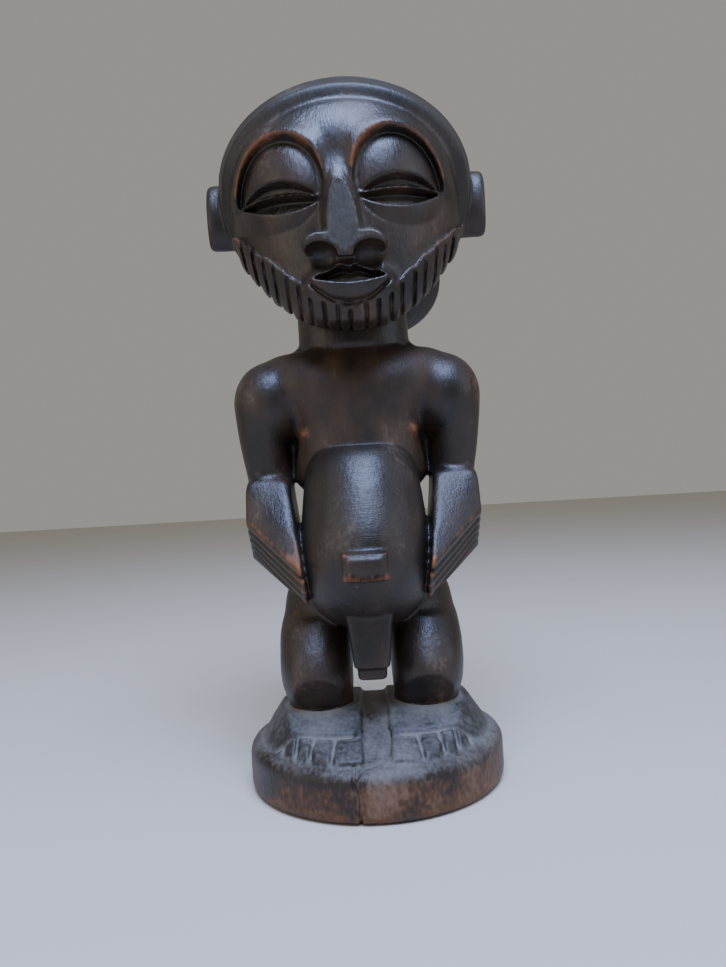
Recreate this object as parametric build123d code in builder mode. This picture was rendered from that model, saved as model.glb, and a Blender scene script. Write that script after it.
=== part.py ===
"""A carved wooden fertility figure standing on a round plinth, in millimetres.

The figure is carved from one block of hardwood. It is modelled as the block's carved
sections, which meet face to face where the carver's knife changes direction.

Frame: +Z up, the figure faces -Y and its left side is +X. The origin is the centre of
the underside of the plinth, below the middle of the figure's plan. The right-hand
sections are made first, at negative X, and the left-hand ones are their mirror images.
"""

import os

from build123d import *

# ---------------------------------------------------------------- driving dimensions
PLINTH_HEIGHT = 20.0
PLINTH_ACROSS = 55.0  # half width
PLINTH_DEEP = 53.0  # half depth
INSTEP_HEIGHT = 34.0  # where the shins stand on the feet
HIP_HEIGHT = 72.0  # where the thighs enter the hips
WAIST_HEIGHT = 100.0  # where the hips end and the trunk begins
ELBOW_HEIGHT = 132.0  # the level top of the forearms
SHOULDER_HEIGHT = 186.0  # the flat yoke that the neck stands on
HEAD_EQUATOR = 258.0  # the widest level of the head
HEAD_TOP = 300.0
HEAD_ACROSS = 55.5  # half width over the hair
HEAD_DEEP = 51.0  # half depth over the hair
HAIR_THICKNESS = 2.0  # how far hair and beard stand out from the skin
HAIRLINE_TEMPLE = (0.0, -12.0, 240.0)  # a point on the plane that the hair lies behind
HAIRLINE_LEAN = 0.73  # the plane leans forwards, towards the brow, by this slope
NOSE_TIP_Y = -58.0
HAIR_BACK_Y = 58.0
EAR_TIP_X = -63.0

# Stations of the lofted sections: height, half width, half depth, centre x, centre y
LEG_STATIONS = (
    (INSTEP_HEIGHT, 13.5, 15.0, -22.5, -3.0),
    (48.0, 15.5, 18.5, -23.5, -11.0),
    (60.0, 16.0, 19.0, -23.5, -6.0),
    (HIP_HEIGHT, 16.0, 20.0, -22.0, 2.0),
)
HIP_STATIONS = (
    (HIP_HEIGHT, 37.5, 25.0, 0.0, 6.0),
    (82.0, 36.0, 26.5, 0.0, 7.0),
    (92.0, 31.0, 23.0, 0.0, 6.0),
    (WAIST_HEIGHT, 27.0, 19.5, 0.0, 4.5),
)
TRUNK_STATIONS = (
    (WAIST_HEIGHT, 27.0, 19.5, 0.0, 4.5),
    (125.0, 24.5, 18.0, 0.0, 3.0),
    (148.0, 27.0, 22.0, 0.0, 0.0),
    (164.0, 34.0, 23.5, 0.0, 0.0),
    (175.0, 42.0, 22.5, 0.0, 0.5),
    (182.0, 40.5, 19.5, 0.0, 1.5),
    (SHOULDER_HEIGHT, 33.0, 16.5, 0.0, 3.0),
)
BELLY_STATIONS = (
    (69.5, 13.0, 10.0, 0.0, -18.0),
    (76.0, 21.5, 22.0, 0.0, -14.0),
    (88.0, 26.5, 33.0, 0.0, -12.5),
    (104.0, 27.0, 36.0, 0.0, -12.0),
    (122.0, 25.5, 30.0, 0.0, -11.0),
    (136.0, 22.5, 22.5, 0.0, -10.5),
    (143.0, 17.5, 16.0, 0.0, -10.0),
)
UPPER_ARM_STATIONS = (
    (ELBOW_HEIGHT, 10.0, 10.5, -40.5, 3.0),
    (150.0, 11.0, 13.0, -42.2, 1.0),
    (165.0, 12.0, 15.5, -42.4, 0.0),
)
# Stations of the head below its widest level, over the beard: height, half width,
# half depth, centre y
JAW_STATIONS = (
    (190.0, 9.0, 8.0, -35.5),
    (198.0, 23.0, 20.0, -26.0),
    (212.0, 37.0, 34.0, -14.0),
    (228.0, 47.5, 44.5, -4.5),
    (244.0, 53.2, 49.5, 0.0),
    (HEAD_EQUATOR, HEAD_ACROSS, HEAD_DEEP, 1.0),
)

os.makedirs("parts", exist_ok=True)


def lofted(stations):
    """A solid through oval stations: height, half width, half depth, centre x and y."""
    with BuildPart() as blank:
        for height, across, deep, centre_x, centre_y in stations:
            with BuildSketch(Plane.XY.offset(height)):
                with Locations((centre_x, centre_y)):
                    Ellipse(across, deep)
        loft()
    return blank.part


def ovoid(radii, centre):
    """A solid egg with three radii, standing at centre."""
    with BuildPart() as blank:
        Sphere(1.0)
        scale(by=radii)
    return Pos(*centre) * blank.part


def head_blank(inset):
    """The head as an egg on a tapering jaw, inset from the hair's outer surface."""
    stations = [
        [height, across - inset, deep - inset, 0.0, centre_y]
        for height, across, deep, centre_y in JAW_STATIONS
    ]
    stations[0][0] += inset
    jaw = lofted(stations)
    radii = (HEAD_ACROSS - inset, HEAD_DEEP - inset, HEAD_TOP - HEAD_EQUATOR - inset)
    egg = ovoid(radii, (0.0, JAW_STATIONS[-1][-1], HEAD_EQUATOR))
    with BuildPart() as blank:
        add(egg)
        split(bisect_by=Plane.XY.offset(HEAD_EQUATOR), keep=Keep.TOP)
        add(jaw)
    return blank.part


# ---------------------------------------------------------------- plinth
# A low round drum with a worn upper edge. A drying crack runs up its front, a little
# off centre, and leans to the figure's right as it rises.
PLINTH_TOP_ROUND = 5.0
PLINTH_FOOT_ROUND = 4.0
CRACK_WIDTH = 0.7
CRACK_DEPTH = 9.0
CRACK_X = -8.5
CRACK_LEAN = -6.0  # degrees from the vertical

with BuildPart() as plinth:
    with BuildSketch():
        Ellipse(PLINTH_ACROSS, PLINTH_DEEP)
    extrude(amount=PLINTH_HEIGHT)
    fillet(plinth.edges().group_by(Axis.Z)[-1], PLINTH_TOP_ROUND)
    fillet(plinth.edges().group_by(Axis.Z)[0], PLINTH_FOOT_ROUND)
    with Locations(Location((CRACK_X, -PLINTH_DEEP, PLINTH_HEIGHT / 2), (0, CRACK_LEAN, 0))):
        Box(CRACK_WIDTH, 2 * CRACK_DEPTH, 2 * PLINTH_HEIGHT, mode=Mode.SUBTRACT)

# ---------------------------------------------------------------- feet
# Broad flat feet whose sides slope down into the plinth, with a cross cut behind the
# toes and four cuts between the toes. The plinth rises between them as a low saddle.
FOOT_INNER_X = -5.5
FOOT_OUTER_X = -50.0
FOOT_WIDTH = FOOT_INNER_X - FOOT_OUTER_X
HEEL_Y = 19.0
HEEL_LEAN = 3.0
SHIN_FRONT_Y = -19.0
TOE_ROOT_Y = -33.0
TOE_ROOT_HEIGHT = 26.5
TOE_TIP_Y = -46.0
TOE_TIP_HEIGHT = 22.5
TOE_LENGTH = TOE_ROOT_Y - TOE_TIP_Y
TOE_LINES = (-16.5, -25.0, -31.5, -38.0)  # x of the cuts, which leave a broad big toe
TOE_CUT = 1.6
FEET_LOW = (50.0, 49.0)  # half width and depth of both feet together, at the plinth
FEET_HIGH = (41.0, 40.0)  # the same at the instep
SADDLE_DROP = 2.0  # how far the saddle lies below the feet


def foot_outline(drop, base):
    """Side view of a foot, as y and z, lowered by drop and standing at height base."""
    return (
        (TOE_TIP_Y, base),
        (TOE_TIP_Y, TOE_TIP_HEIGHT - drop),
        (TOE_ROOT_Y, TOE_ROOT_HEIGHT - drop),
        (SHIN_FRONT_Y, INSTEP_HEIGHT - drop),
        (HEEL_Y - HEEL_LEAN, INSTEP_HEIGHT - drop),
        (HEEL_Y, base),
    )


with BuildPart() as saddle:
    with BuildSketch(Plane.YZ.offset(FOOT_INNER_X)):
        with BuildLine():
            Polyline(*foot_outline(SADDLE_DROP, PLINTH_HEIGHT / 2), close=True)
        make_face()
    extrude(amount=-2 * FOOT_INNER_X)

with plinth:
    add(saddle.part)

with BuildPart() as right_foot:
    with BuildSketch(Plane.YZ.offset(FOOT_OUTER_X)):
        with BuildLine():
            Polyline(*foot_outline(0.0, PLINTH_HEIGHT), close=True)
        make_face()
    extrude(amount=FOOT_WIDTH)
    with BuildSketch(Plane.XY.offset(PLINTH_HEIGHT)):
        Ellipse(*FEET_LOW)
    with BuildSketch(Plane.XY.offset(INSTEP_HEIGHT)):
        Ellipse(*FEET_HIGH)
    loft(mode=Mode.INTERSECT)
    for cut_x in TOE_LINES:
        with Locations(Location((cut_x, TOE_ROOT_Y - TOE_LENGTH / 2, TOE_ROOT_HEIGHT), (0, 45, 0))):
            Box(TOE_CUT, TOE_LENGTH, TOE_CUT, mode=Mode.SUBTRACT)
    cross_x = FOOT_OUTER_X + FOOT_WIDTH / 2
    with Locations(Location((cross_x, TOE_ROOT_Y, TOE_ROOT_HEIGHT), (45, 0, 0))):
        Box(FOOT_WIDTH + TOE_CUT, TOE_CUT, TOE_CUT, mode=Mode.SUBTRACT)

with BuildPart() as left_foot:
    mirror(right_foot.part, about=Plane.YZ)

# ---------------------------------------------------------------- hips and trunk
# The hips flare from the waist. The trunk widens again into a flat yoke of shoulders.
with BuildPart() as hips:
    add(lofted(HIP_STATIONS))

with BuildPart() as trunk:
    add(lofted(TRUNK_STATIONS))

# ---------------------------------------------------------------- belly and navel
# A barrel of a belly stands in front of the trunk, with a square navel on it.
NAVEL_ACROSS = 17.0
NAVEL_HIGH = 11.0
NAVEL_X = -0.5
NAVEL_HEIGHT = 96.5
NAVEL_FRONT_Y = -54.5
NAVEL_ROOT_Y = -40.0
NAVEL_ROUND = 2.5
BELLY_BACK_Y = 2.0  # where the belly's blank ends inside the trunk

with BuildPart() as belly:
    add(lofted(BELLY_STATIONS))
    split(bisect_by=Plane.XZ.offset(-BELLY_BACK_Y), keep=Keep.TOP)
    add(hips.part, mode=Mode.SUBTRACT)
    add(trunk.part, mode=Mode.SUBTRACT)

with BuildPart() as navel:
    with Locations((NAVEL_X, (NAVEL_FRONT_Y + NAVEL_ROOT_Y) / 2, NAVEL_HEIGHT)):
        Box(NAVEL_ACROSS, NAVEL_ROOT_Y - NAVEL_FRONT_Y, NAVEL_HIGH)
    chamfer(navel.faces().sort_by(Axis.Y)[0].edges(), NAVEL_ROUND)
    add(belly.part, mode=Mode.SUBTRACT)

# ---------------------------------------------------------------- legs
# Short thick legs with bent knees. A straight gap is cut right through between them.
LEG_GAP = 6.5  # half width of the gap

with BuildPart() as right_leg:
    add(lofted(LEG_STATIONS))
    split(bisect_by=Plane.YZ.offset(-LEG_GAP), keep=Keep.BOTTOM)
    add(belly.part, mode=Mode.SUBTRACT)

with BuildPart() as left_leg:
    mirror(right_leg.part, about=Plane.YZ)

# ---------------------------------------------------------------- phallus
# A tapering block under the belly, between the thighs, with a stepped lower end.
# Height, centre y, width and depth at its root, at its step and at its end
PHALLUS_ROOT = (76.0, -24.0, 19.0, 20.0)
PHALLUS_STEP = (54.0, -26.5, 14.5, 17.0)
PHALLUS_END = (49.0, -25.5, 12.0, 14.0)
PHALLUS_ROUND = 3.0


def phallus_profile(station):
    """A round-cornered outline at one station of the phallus."""
    height, centre_y, across, deep = station
    with BuildSketch(Plane.XY.offset(height)) as profile:
        with Locations((0.0, centre_y)):
            RectangleRounded(across, deep, PHALLUS_ROUND)
    return profile.sketch


with BuildPart() as phallus:
    loft([phallus_profile(PHALLUS_STEP), phallus_profile(PHALLUS_ROOT)])
    extrude(phallus_profile(PHALLUS_END), amount=PHALLUS_STEP[0] - PHALLUS_END[0])
    for neighbour in (belly, hips, right_leg, left_leg):
        add(neighbour.part, mode=Mode.SUBTRACT)

# ---------------------------------------------------------------- arms
# The upper arms hang from round shoulders. The forearms are square blocks that come
# forward and inward, and end in flat hands laid against the sides of the belly.
SHOULDER_RADII = (16.5, 17.0, 18.5)
SHOULDER_CENTRE = (-37.9, 0.0, 165.0)
FOREARM_OUTER_X = -50.0
FOREARM_INNER_X = -24.5
HAND_THICKNESS = 8.0
FINGER_COUNT = 5
FINGER_CUT = 1.5
FOREARM_SIDE = (-25.5, 0.0, 93.0)  # a point on the plane of the forearm's inner side
FOREARM_LEAN = 0.14  # the slope of that plane, outwards as it rises
WEB_X = (-26.0, -38.0)  # a web of wood behind the armpit ties the arm to the trunk
WEB_Y = (3.0, 14.0)
WEB_FOOT = 138.0
WEB_ROUND = 3.0
# Corners of the forearm block in side view, y and z: elbow crook, wrist, little finger,
# underside, elbow
FOREARM_OUTER = (
    (-10.0, ELBOW_HEIGHT),
    (-15.0, 114.0),
    (0.0, 97.0),
    (13.0, 106.0),
    (14.0, ELBOW_HEIGHT),
)
FOREARM_INNER = (
    (-10.5, ELBOW_HEIGHT),
    (-38.5, 93.0),
    (-25.0, 78.0),
    (-3.0, 92.0),
    (12.0, ELBOW_HEIGHT),
)

outer_end = Plane.YZ.offset(FOREARM_OUTER_X)
inner_end = Plane.YZ.offset(FOREARM_INNER_X)
with BuildPart() as forearm_block:
    with BuildSketch(outer_end):
        with BuildLine():
            Polyline(*FOREARM_OUTER, close=True)
        make_face()
    with BuildSketch(inner_end):
        with BuildLine():
            Polyline(*FOREARM_INNER, close=True)
        make_face()
    loft(ruled=True)
    # the inner side leans outwards, so that light shows between forearm and belly
    split(bisect_by=Plane(origin=FOREARM_SIDE, z_dir=(1, 0, FOREARM_LEAN)), keep=Keep.BOTTOM)
    for neighbour in (belly, trunk, hips):
        add(neighbour.part, mode=Mode.SUBTRACT)

# The fingers' face runs from the outer wrist to the fingertips beside the belly.
wrist = outer_end.from_local_coords(FOREARM_OUTER[1])
little_finger = outer_end.from_local_coords(FOREARM_OUTER[2])
fingertip = inner_end.from_local_coords(FOREARM_INNER[1])
finger_face = Plane(
    origin=wrist,
    x_dir=fingertip - wrist,
    z_dir=(little_finger - wrist).cross(fingertip - wrist),
)
palm = finger_face.offset(-HAND_THICKNESS)
finger_reach = (fingertip - wrist).length
hand_width = (little_finger - wrist).length

with BuildPart() as right_forearm:
    add(forearm_block.part)
    split(bisect_by=palm, keep=Keep.BOTTOM)

with BuildPart() as right_hand:
    add(forearm_block.part)
    split(bisect_by=palm, keep=Keep.TOP)
    for cut in range(1, FINGER_COUNT):
        across = -cut * hand_width / FINGER_COUNT
        at_root = finger_face * Location((finger_reach / 2, across, 0), (45, 0, 0))
        with Locations(at_root):
            Box(2 * finger_reach, FINGER_CUT, FINGER_CUT, mode=Mode.SUBTRACT)

with BuildPart() as web:
    with BuildSketch(Plane.XY.offset(WEB_FOOT)):
        with Locations((sum(WEB_X) / 2, sum(WEB_Y) / 2)):
            RectangleRounded(WEB_X[0] - WEB_X[1], WEB_Y[1] - WEB_Y[0], WEB_ROUND)
    extrude(amount=SHOULDER_CENTRE[2] - WEB_FOOT)

with BuildPart() as right_upper_arm:
    add(lofted(UPPER_ARM_STATIONS))
    add(ovoid(SHOULDER_RADII, SHOULDER_CENTRE))
    add(web.part)
    for neighbour in (trunk, forearm_block):
        add(neighbour.part, mode=Mode.SUBTRACT)

with BuildPart() as left_forearm:
    mirror(right_forearm.part, about=Plane.YZ)

with BuildPart() as left_hand:
    mirror(right_hand.part, about=Plane.YZ)

with BuildPart() as left_upper_arm:
    mirror(right_upper_arm.part, about=Plane.YZ)

# ---------------------------------------------------------------- head and face
# The head is a plain egg of bare wood. The features of the face stand on it: arched
# brows that run down into a long narrow nose, full closed lids and a parted mouth.
skin = head_blank(HAIR_THICKNESS)
with BuildPart() as head:
    add(skin)

NOSE_ROOT_HEIGHT = 254.0
NOSE_TIP_HEIGHT = 212.0
NOSE_RIDGE = 3.0  # half width of the flat ridge of the nose
NOSE_ROOT = ((-6.0, -44.0), (-NOSE_RIDGE, -50.0))  # x and y of its right half
NOSE_WING = ((-15.0, -40.0), (-NOSE_RIDGE, NOSE_TIP_Y))

with BuildPart() as nose:
    for height, half in ((NOSE_TIP_HEIGHT, NOSE_WING), (NOSE_ROOT_HEIGHT, NOSE_ROOT)):
        with BuildSketch(Plane.XY.offset(height)):
            with BuildLine():
                Polyline(*half, *[(-x, y) for x, y in reversed(half)], close=True)
            make_face()
    loft()
    add(skin, mode=Mode.SUBTRACT)

EYE_HEIGHT = 240.0
LID_CENTRE = (-24.0, -37.0, EYE_HEIGHT)
LID_RADII = (15.5, 8.0, 11.0)
EYE_SLIT = (34.0, 6.0, 1.6)  # width, depth and height of the slit between the lids

with BuildPart() as right_eye:
    add(ovoid(LID_RADII, LID_CENTRE))
    with Locations((LID_CENTRE[0], LID_CENTRE[1] - LID_RADII[1], EYE_HEIGHT)):
        Box(*EYE_SLIT, mode=Mode.SUBTRACT)
    add(skin, mode=Mode.SUBTRACT)
    add(nose.part, mode=Mode.SUBTRACT)

with BuildPart() as left_eye:
    mirror(right_eye.part, about=Plane.YZ)

BROW_CENTRE = (-23.5, 244.0)  # x and z
BROW_OUTER = (20.5, 19.5)
BROW_INNER = (17.0, 16.5)
BROW_PROUD = 1.5

with BuildPart() as right_brow:
    add(head_blank(HAIR_THICKNESS - BROW_PROUD))
    with BuildSketch(Plane.XZ):
        with Locations(BROW_CENTRE):
            Ellipse(*BROW_OUTER)
            Ellipse(*BROW_INNER, mode=Mode.SUBTRACT)
    extrude(amount=HEAD_DEEP * 2, mode=Mode.INTERSECT)
    split(bisect_by=Plane.XY.offset(BROW_CENTRE[1]), keep=Keep.TOP)
    add(skin, mode=Mode.SUBTRACT)
    add(nose.part, mode=Mode.SUBTRACT)

with BuildPart() as left_brow:
    mirror(right_brow.part, about=Plane.YZ)

MOUTH_HEIGHT = 204.0
LIP_Y = -43.0
LIP_RADII = (16.0, 7.0, 7.0)
MOUTH_SLIT_RADII = (12.0, 5.0, 2.0)

with BuildPart() as mouth:
    add(ovoid(LIP_RADII, (0.0, LIP_Y, MOUTH_HEIGHT)))
    add(ovoid(MOUTH_SLIT_RADII, (0.0, LIP_Y - LIP_RADII[1], MOUTH_HEIGHT)), mode=Mode.SUBTRACT)
    add(skin, mode=Mode.SUBTRACT)

# ---------------------------------------------------------------- beard
# A raised band along the jaw from ear to ear, cut into short upright tufts.
# Its upper edge falls from the right ear to the chin, x and z
BEARD_EDGE = ((-62.0, 248.0), (-54.0, 240.0), (-33.0, 219.0), (-14.0, 200.5), (0.0, 196.0))
BEARD_FOOT = 180.0  # clear below the chin
TUFT_CUTS = 21
TUFT_SPREAD = 58.0  # degrees from the chin to the last cut, seen from above
TUFT_GAP = 1.2
TUFT_GAP_DEPTH = 1.2

hair_surface = head_blank(0.0)
hairline = Plane(origin=HAIRLINE_TEMPLE, z_dir=(0, 1, HAIRLINE_LEAN))
mirrored_edge = [(-x, z) for x, z in BEARD_EDGE[-2::-1]]

with BuildPart() as tuft_gaps:
    for cut in range(TUFT_CUTS):
        turn = TUFT_SPREAD * (2 * cut / (TUFT_CUTS - 1) - 1)
        along_jaw = Vector(0, -HEAD_ACROSS).rotate(Axis.Z, turn)
        with Locations((along_jaw.X, 0, HEAD_EQUATOR - HEAD_ACROSS)):
            Box(TUFT_GAP, 4 * HEAD_DEEP, 2 * HEAD_ACROSS)
    add(head_blank(TUFT_GAP_DEPTH), mode=Mode.SUBTRACT)

with BuildPart() as beard:
    add(hair_surface)
    split(bisect_by=hairline, keep=Keep.BOTTOM)
    with BuildSketch(Plane.XZ):
        with BuildLine():
            Polyline(
                *BEARD_EDGE,
                *mirrored_edge,
                (-BEARD_EDGE[0][0], BEARD_FOOT),
                (BEARD_EDGE[0][0], BEARD_FOOT),
                close=True,
            )
        make_face()
    extrude(amount=2 * HEAD_DEEP, both=True, mode=Mode.INTERSECT)
    for neighbour in (head, mouth, tuft_gaps):
        add(neighbour.part, mode=Mode.SUBTRACT)

# ---------------------------------------------------------------- ears
# Small upright flanges, hollowed on the outside.
EAR_HEIGHT = 252.0
EAR_Y = 10.0
EAR_DEEP = 7.5  # half depth
EAR_TALL = 15.0  # half height
EAR_ROUND = 2.5
HOLLOW_DEPTH = 3.0
HOLLOW_DEEP = 3.75  # half depth and half height of the hollow
HOLLOW_TALL = 9.75

with BuildPart() as right_ear:
    with BuildSketch(Plane.YZ.offset(EAR_TIP_X)):
        with Locations((EAR_Y, EAR_HEIGHT)):
            Ellipse(EAR_DEEP, EAR_TALL)
    extrude(amount=-EAR_TIP_X / 2)
    fillet(right_ear.edges().sort_by(Axis.X)[0], EAR_ROUND)
    with BuildSketch(Plane.YZ.offset(EAR_TIP_X)):
        with Locations((EAR_Y, EAR_HEIGHT)):
            Ellipse(HOLLOW_DEEP, HOLLOW_TALL)
    extrude(amount=HOLLOW_DEPTH, mode=Mode.SUBTRACT)
    add(hair_surface, mode=Mode.SUBTRACT)

with BuildPart() as left_ear:
    mirror(right_ear.part, about=Plane.YZ)

# ---------------------------------------------------------------- coiffure
# Close-cropped hair over the back of the head, gathered into an upper knot and a
# heavier lower one that hangs towards the figure's left.
UPPER_KNOT_RADII = (30.0, 18.0, 24.0)
UPPER_KNOT_CENTRE = (0.0, HAIR_BACK_Y - UPPER_KNOT_RADII[1], 262.0)
LOWER_KNOT_RADII = (30.0, 22.0, 27.0)
LOWER_KNOT_CENTRE = (14.0, 34.0, 226.0)

with BuildPart() as coiffure:
    add(hair_surface)
    split(bisect_by=hairline, keep=Keep.TOP)
    add(ovoid(UPPER_KNOT_RADII, UPPER_KNOT_CENTRE))
    add(ovoid(LOWER_KNOT_RADII, LOWER_KNOT_CENTRE))
    add(skin, mode=Mode.SUBTRACT)

# ---------------------------------------------------------------- neck
NECK_TOP = 226.0
NECK_RADII = (24.5, 20.0)
NECK_Y = 3.0

with BuildPart() as neck:
    with BuildSketch(Plane.XY.offset(SHOULDER_HEIGHT)):
        with Locations((0.0, NECK_Y)):
            Ellipse(*NECK_RADII)
    extrude(amount=NECK_TOP - SHOULDER_HEIGHT)
    for neighbour in (trunk, head, beard, coiffure):
        add(neighbour.part, mode=Mode.SUBTRACT)

# ---------------------------------------------------------------- the written sections
sections = {
    "plinth": plinth,
    "right_foot": right_foot,
    "left_foot": left_foot,
    "right_leg": right_leg,
    "left_leg": left_leg,
    "hips": hips,
    "phallus": phallus,
    "trunk": trunk,
    "belly": belly,
    "navel": navel,
    "right_upper_arm": right_upper_arm,
    "left_upper_arm": left_upper_arm,
    "right_forearm": right_forearm,
    "left_forearm": left_forearm,
    "right_hand": right_hand,
    "left_hand": left_hand,
    "neck": neck,
    "head": head,
    "nose": nose,
    "right_brow": right_brow,
    "left_brow": left_brow,
    "right_eye": right_eye,
    "left_eye": left_eye,
    "mouth": mouth,
    "beard": beard,
    "right_ear": right_ear,
    "left_ear": left_ear,
    "coiffure": coiffure,
}
for name, section in sections.items():
    section.part.label = name
    export_step(section.part, f"parts/{name}.step")
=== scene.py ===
import math

import bpy
import numpy as np
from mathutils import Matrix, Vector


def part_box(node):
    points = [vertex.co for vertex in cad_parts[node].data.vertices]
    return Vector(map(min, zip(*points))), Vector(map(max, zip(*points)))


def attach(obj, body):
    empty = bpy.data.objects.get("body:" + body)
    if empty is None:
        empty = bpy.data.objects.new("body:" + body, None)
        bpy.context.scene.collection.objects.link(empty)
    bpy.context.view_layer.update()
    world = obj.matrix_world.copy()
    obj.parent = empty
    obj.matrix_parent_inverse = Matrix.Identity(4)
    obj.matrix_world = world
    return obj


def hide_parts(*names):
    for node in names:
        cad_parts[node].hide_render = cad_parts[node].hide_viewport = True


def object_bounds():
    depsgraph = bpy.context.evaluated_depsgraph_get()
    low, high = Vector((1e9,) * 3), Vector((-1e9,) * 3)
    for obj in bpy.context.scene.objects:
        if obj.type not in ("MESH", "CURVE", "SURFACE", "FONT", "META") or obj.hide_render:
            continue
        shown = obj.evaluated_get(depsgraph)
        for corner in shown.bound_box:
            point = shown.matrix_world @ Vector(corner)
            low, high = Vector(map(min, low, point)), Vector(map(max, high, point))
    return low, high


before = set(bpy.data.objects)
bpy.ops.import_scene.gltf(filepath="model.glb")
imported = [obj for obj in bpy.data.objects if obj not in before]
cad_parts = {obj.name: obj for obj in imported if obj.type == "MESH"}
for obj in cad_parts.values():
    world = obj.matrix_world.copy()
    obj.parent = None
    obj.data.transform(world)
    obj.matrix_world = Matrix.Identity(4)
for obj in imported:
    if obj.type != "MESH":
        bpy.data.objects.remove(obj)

import openvdb
from mathutils import Vector

cad_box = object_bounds()

# ---------------------------------------------------------------- the block, and the plinth
# The figure is carved from one block of dense brown hardwood. The plinth is its foot: a
# low drum left whole when the legs were cut free, with a drying crack up the front. It
# is handled and rubbed on its side, and its top is dull with dust.
MM = 1000.0  # millimetres in a metre
GRID = 0.6  # mm between the points that the wood is carved on
AIR = 4  # grid points of air round the wood
LAP = 2.0  # mm that a section runs on under its neighbour
SINK = 0.06  # how steeply it dives there
SEAM = 4.0  # mm from a neighbour, over which the knife marks fade
STRAY = 3.5  # mm that a section's surface may stand off its CAD solid


def faces_of(node):
    """The corners of a CAD node in millimetres, and its triangles."""
    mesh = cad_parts[node].data
    mesh.calc_loop_triangles()
    corners = np.empty(len(mesh.vertices) * 3, np.float32)
    mesh.vertices.foreach_get("co", corners)
    triangles = np.empty(len(mesh.loop_triangles) * 3, np.int32)
    mesh.loop_triangles.foreach_get("vertices", triangles)
    return corners.reshape(-1, 3) * MM, triangles.reshape(-1, 3).astype(np.uint32)


def blurred(field, width):
    """The field smoothed by a bell curve, whose width is in grid steps."""
    reach = math.ceil(2.5 * width)
    bell = np.exp(-0.5 * (np.arange(-reach, reach + 1) / width) ** 2)
    bell = (bell / bell.sum()).astype(np.float32)
    for axis in range(3):
        rows = np.moveaxis(field, axis, 0)
        rows = np.concatenate([rows[:1]] * reach + [rows] + [rows[-1:]] * reach)
        count = len(rows) - 2 * reach
        total = sum(share * rows[start:start + count] for start, share in enumerate(bell))
        field = np.moveaxis(total, 0, axis)
    return np.ascontiguousarray(field)


def ramp(value, start, end):
    """0 at start, 1 at end and smooth between."""
    share = np.clip((value - start) / (end - start), 0.0, 1.0)
    return share * share * (3 - 2 * share)


def bump(value, width):
    """1 where value is 0, and falling to 0 within about two widths."""
    return np.exp(-((value / width) ** 2))


def joined(one, other, radius):
    """Two solids as one, with a fillet of about this radius where they meet."""
    near = np.clip(radius - np.abs(one - other), 0, None) / radius
    return np.minimum(one, other) - near * near * radius / 4


def cut_away(wood, tool, radius):
    """The wood without the tool's shape, with the new edge rounded."""
    return -joined(-wood, tool, radius)


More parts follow.
